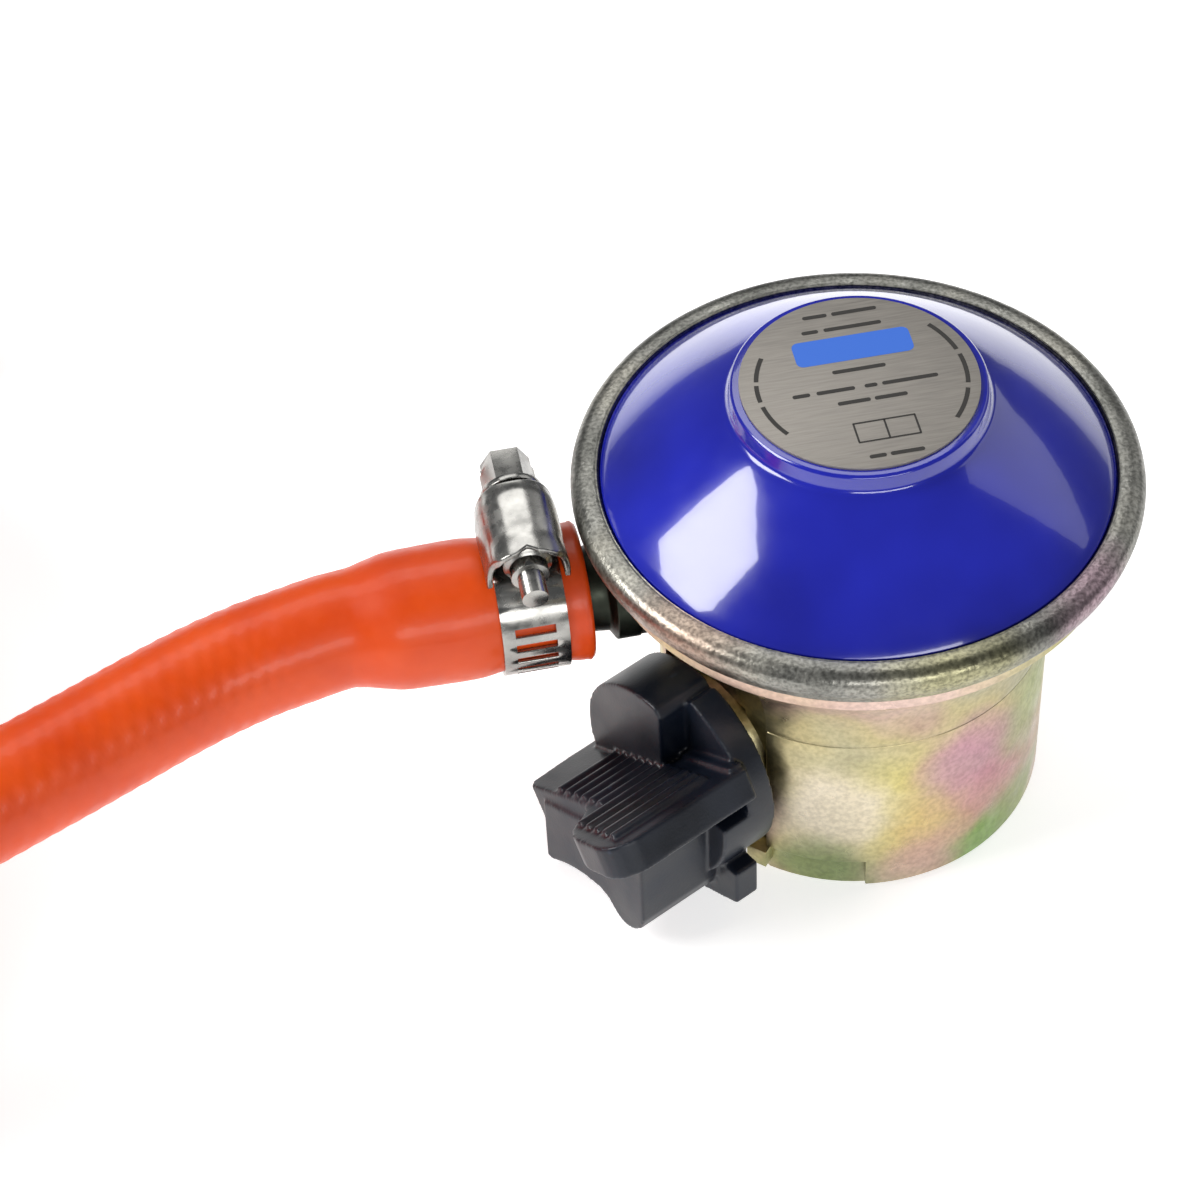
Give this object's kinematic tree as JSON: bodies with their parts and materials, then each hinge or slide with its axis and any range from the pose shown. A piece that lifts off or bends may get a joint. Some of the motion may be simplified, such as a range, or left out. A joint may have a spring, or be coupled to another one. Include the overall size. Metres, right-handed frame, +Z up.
{
  "type": "gas regulator with hose",
  "caption": "Clip-on gas regulator with a domed cover, side switch, barbed nozzle and a coiled rubber hose held by slotted screw clips.",
  "frame": {"origin": "on the regulator's axis, in the plane of its lower edge, at the mouth of the valve socket", "axes": "+Z up along the regulator's axis, nozzle and hose along -X"},
  "size_m": [0.3258, 0.1725, 0.0688],
  "materials": {
    "plated_zinc": "yellow passivated zinc, satin",
    "blue_enamel": "glossy stoved enamel",
    "label_aluminium": "brushed",
    "navy_plastic": "moulded, satin",
    "dark_plated_steel": "dark olive plating",
    "black_rubber": "matt",
    "black_nylon": "moulded nylon",
    "orange_rubber": "glossy extruded rubber over a braid",
    "brass": "turned",
    "bright_steel": "zinc plated, bright"
  },
  "bodies": {
    "regulator": {"body_casting": "plated_zinc", "barrel": "plated_zinc", "valve_connector": "brass", "socket_seal": "black_rubber", "shaft_bush": "brass", "shaft_seal": "black_rubber", "detent_ball": "bright_steel", "detent_spring": "bright_steel", "inlet_jet": "brass", "lever_pin": "bright_steel", "lever_bracket": "bright_steel", "bracket_screws": "bright_steel", "diaphragm": "black_rubber", "relief_spring": "bright_steel", "main_spring": "bright_steel", "adjusting_screw": "plated_zinc", "top_cover": "blue_enamel", "crimp_rim": "plated_zinc", "label_plate": "label_aluminium", "outlet_nozzle": "dark_plated_steel", "nozzle_seal": "black_rubber", "hose_cuff": "orange_rubber", "hose_run": "orange_rubber", "hose_coil": "orange_rubber", "hose_top_turn": "orange_rubber", "hose_tail": "orange_rubber", "hose_end": "orange_rubber", "clip_a_band": "bright_steel", "clip_a_housing": "bright_steel", "clip_b_band": "bright_steel", "clip_b_housing": "bright_steel", "hose_ties": "black_nylon"},
    "switch": {"switch_knob": "navy_plastic", "cam_shaft": "brass", "knob_pin": "bright_steel"},
    "pusher": {"valve_pusher": "brass"},
    "collar": {"lock_collar": "bright_steel"},
    "ball_1": {"lock_ball_1": "bright_steel"},
    "ball_2": {"lock_ball_2": "bright_steel"},
    "ball_3": {"lock_ball_3": "bright_steel"},
    "stem": {"diaphragm_stem": "brass", "relief_nut": "brass"},
    "plate": {"diaphragm_plate": "bright_steel"},
    "lever": {"valve_lever": "bright_steel"},
    "plunger": {"valve_plunger": "brass", "valve_pad": "black_rubber"},
    "screw_a": {"clip_a_screw": "bright_steel"},
    "screw_b": {"clip_b_screw": "bright_steel"}
  },
  "joints": [
    {"name": "switch_turn", "type": "hinge", "parent": "regulator", "child": "switch", "pos_m": [0, 0, 0.0185], "axis": [-0.887, -0.4617, 0], "range_deg": [0, 90]},
    {"name": "pusher_slide", "type": "slide", "parent": "regulator", "child": "pusher", "axis": [0, 0, 1], "range_m": [-0.003, 0]},
    {"name": "collar_slide", "type": "slide", "parent": "regulator", "child": "collar", "axis": [0, 0, 1], "range_m": [-0.003, 0]},
    {"name": "ball_1_slide", "type": "slide", "parent": "regulator", "child": "ball_1", "axis": [0.0436, 0.999, 0], "range_m": [0, 0.00105]},
    {"name": "ball_2_slide", "type": "slide", "parent": "regulator", "child": "ball_2", "axis": [-0.887, -0.4617, 0], "range_m": [0, 0.00105]},
    {"name": "ball_3_slide", "type": "slide", "parent": "regulator", "child": "ball_3", "axis": [0.8434, -0.5373, 0], "range_m": [0, 0.00105]},
    {"name": "diaphragm_lift", "type": "slide", "parent": "regulator", "child": "stem", "axis": [0, 0, 1], "range_m": [-0.001, 0.001], "stiffness_N_per_m": 1500, "deforming": ["main_spring", "diaphragm"]},
    {"name": "relief_lift", "type": "slide", "parent": "stem", "child": "plate", "axis": [0, 0, 1], "range_m": [0, 0.0008], "stiffness_N_per_m": 1200, "deforming": ["relief_spring"]},
    {"name": "lever_tilt", "type": "hinge", "parent": "regulator", "child": "lever", "pos_m": [0.007, 0, 0.04295], "axis": [0, 1, 0], "range_deg": [-8.3, 8.3]},
    {"name": "plunger_slide", "type": "slide", "parent": "regulator", "child": "plunger", "axis": [0, 0, -1], "range_m": [-0.00073, 0.00073]},
    {"name": "clip_a_screw_turn", "type": "hinge", "parent": "regulator", "child": "screw_a", "pos_m": [-0.043, -0.00088, 0.05212], "axis": [0, 0.9976, 0.0698], "continuous": true},
    {"name": "clip_b_screw_turn", "type": "hinge", "parent": "regulator", "child": "screw_b", "pos_m": [-0.128, 0.1038, 0.01995], "axis": [0, -1, 0], "continuous": true}
  ],
  "couplings": [
    {"joint": "switch_turn", "follows": "collar_slide", "rad_per_m": -523.08},
    {"joint": "pusher_slide", "follows": "collar_slide", "ratio": 0.999},
    {"joint": "ball_1_slide", "follows": "collar_slide", "ratio": -0.34965},
    {"joint": "ball_2_slide", "follows": "collar_slide", "ratio": -0.34965},
    {"joint": "ball_3_slide", "follows": "collar_slide", "ratio": -0.34965},
    {"joint": "lever_tilt", "follows": "diaphragm_lift", "rad_per_m": 142.86},
    {"joint": "plunger_slide", "follows": "diaphragm_lift", "ratio": 0.71429}
  ]
}
